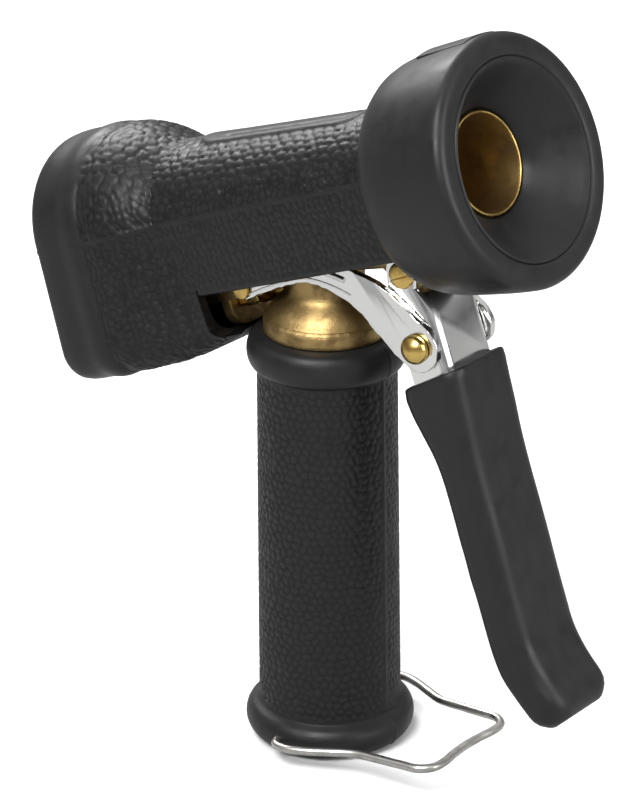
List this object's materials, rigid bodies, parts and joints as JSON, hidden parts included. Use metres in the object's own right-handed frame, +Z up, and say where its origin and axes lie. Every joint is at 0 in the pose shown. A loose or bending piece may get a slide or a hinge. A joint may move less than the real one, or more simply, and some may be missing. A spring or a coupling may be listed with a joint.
{
  "type": "hose spray nozzle",
  "caption": "Rubber-covered brass pistol spray nozzle for a hose, with a chromed squeeze lever on link arms and a wire bail that holds it squeezed.",
  "frame": {"origin": "under the middle of the whole object, on the plane of the handle's foot", "axes": "+Z up along the handle, +X towards the outlet, +Y to the nozzle's left"},
  "size_m": [0.1756, 0.0638, 0.2112],
  "materials": {
    "black_rubber": "moulded black rubber, pebbled on the grip and barrel, smooth on the bumper, the beads and the lever",
    "seal_rubber": "smooth black nitrile",
    "cast_brass": "sand-cast brass, dull with a fine grain",
    "turned_brass": "turned brass, polished",
    "chrome_plate": "bright chrome plate on pressed steel",
    "stainless_steel": "drawn stainless wire, satin"
  },
  "bodies": {
    "body": {"body_casting": "cast_brass", "grip_sleeve": "black_rubber", "inlet_washer": "seal_rubber", "barrel_cover": "black_rubber", "outlet_sleeve": "turned_brass", "valve_seat": "turned_brass", "gland_nut": "turned_brass", "stem_packing": "seal_rubber", "packing_washer": "turned_brass", "return_spring": "stainless_steel"},
    "carriage": {"crosshead": "turned_brass", "stroke_nut": "turned_brass", "stroke_stud": "turned_brass", "valve_stem": "turned_brass", "valve_washer": "seal_rubber", "stem_front_nut": "turned_brass", "stem_rear_nut": "turned_brass", "stem_lock_nut": "turned_brass", "crosshead_pin_right": "turned_brass", "crosshead_pin_left": "turned_brass"},
    "lever": {"lever_channel": "chrome_plate", "lever_grip": "black_rubber", "lever_hinge_bolt": "turned_brass", "lever_hinge_nut": "turned_brass", "link_bolt": "turned_brass", "link_cap_nut": "turned_brass", "link_spacer": "stainless_steel"},
    "links": {"link_arm_right": "chrome_plate", "link_arm_left": "chrome_plate"},
    "bail": {"bail_wire": "stainless_steel"}
  },
  "joints": [
    {"name": "lever_hinge", "type": "hinge", "parent": "body", "child": "lever", "pos_m": [0.03625, 0, 0.14595], "axis": [0, 1, 0], "range_deg": [0, 19], "stiffness_Nm_per_rad": 1, "springref_deg": -28.65},
    {"name": "stem_slide", "type": "slide", "parent": "body", "child": "carriage", "axis": [0.9354, 0, 0.3535], "range_m": [-0.0068, 0], "deforming": ["return_spring"]},
    {"name": "link_pivot", "type": "hinge", "parent": "lever", "child": "links", "pos_m": [0.04219, 0, 0.12767], "axis": [0, 1, 0], "range_deg": [-20.5, 0]},
    {"name": "bail_hinge", "type": "hinge", "parent": "body", "child": "bail", "pos_m": [0.00234, 0, 0.0048], "axis": [0, 1, 0], "range_deg": [-52, 60]}
  ],
  "couplings": [
    {"joint": "stem_slide", "follows": "lever_hinge", "m_per_rad": -0.0201},
    {"joint": "link_pivot", "follows": "lever_hinge", "ratio": -1.06}
  ]
}
